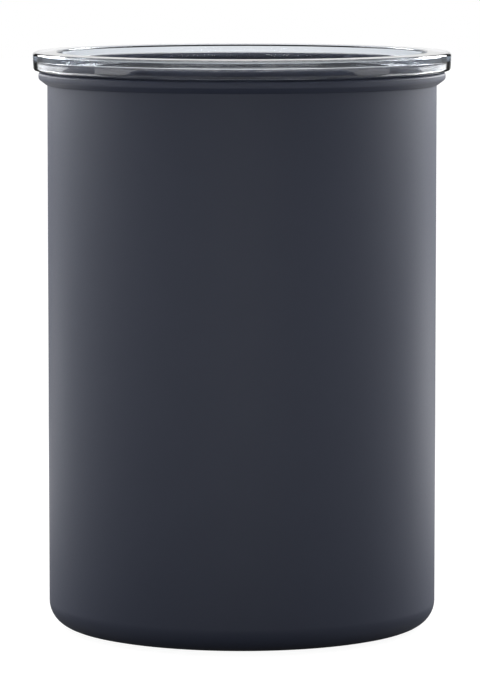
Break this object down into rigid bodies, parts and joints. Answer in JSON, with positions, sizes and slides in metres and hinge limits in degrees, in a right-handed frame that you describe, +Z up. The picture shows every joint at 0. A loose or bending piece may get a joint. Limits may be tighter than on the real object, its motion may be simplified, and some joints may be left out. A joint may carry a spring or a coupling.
{
  "type": "coffee canister with valve",
  "caption": "Round steel coffee canister with a clear snap-over lid and a sliding inner lid whose folding bail handle opens an air valve.",
  "frame": {"origin": "centre of the base, on the surface that the canister stands on", "axes": "+Z up along the canister's axis, +X along the bail handle's pivot axis, +Y towards the folded bail"},
  "size_m": [0.128, 0.128, 0.1765],
  "materials": {
    "powder_coat": "matte charcoal powder coat outside, bare brushed steel inside",
    "clear_lid": "clear moulded plastic",
    "dish_plastic": "fine moulded texture",
    "silicone": "matte silicone",
    "valve_plastic": "satin acetal",
    "steel": "stainless"
  },
  "bodies": {
    "canister": {"canister_shell": "powder_coat"},
    "outer_lid": {"outer_lid": "clear_lid"},
    "inner_lid": {"plunger_plate": "dish_plastic", "wiper_seal": "silicone", "seal_retainer": "dish_plastic", "valve_housing": "dish_plastic", "housing_screws": "steel", "housing_cap": "dish_plastic", "valve_spring": "steel", "pivot_bush_left": "valve_plastic", "pivot_bush_right": "valve_plastic"},
    "bail": {"bail_handle": "steel", "bail_cam_left": "valve_plastic", "bail_cam_right": "valve_plastic", "cam_pins": "steel"},
    "valve": {"valve_disc": "silicone", "valve_stem": "valve_plastic", "valve_yoke": "valve_plastic", "stem_nut": "steel"}
  },
  "joints": [
    {"name": "lid_lift", "type": "slide", "parent": "canister", "child": "outer_lid", "axis": [0, 0, 1], "range_m": [0, 0.16]},
    {"name": "inner_lid_slide", "type": "slide", "parent": "canister", "child": "inner_lid", "axis": [0, 0, 1], "range_m": [-0.114, 0]},
    {"name": "bail_fold", "type": "hinge", "parent": "inner_lid", "child": "bail", "pos_m": [0, 0, 0.1324], "axis": [1, 0, 0], "range_deg": [0, 90]},
    {"name": "valve_lift", "type": "slide", "parent": "inner_lid", "child": "valve", "axis": [0, 0, 1], "range_m": [0, 0.00201], "deforming": ["valve_spring"]}
  ],
  "couplings": [
    {"joint": "valve_lift", "follows": "bail_fold", "m_per_rad": 0.0012732}
  ]
}
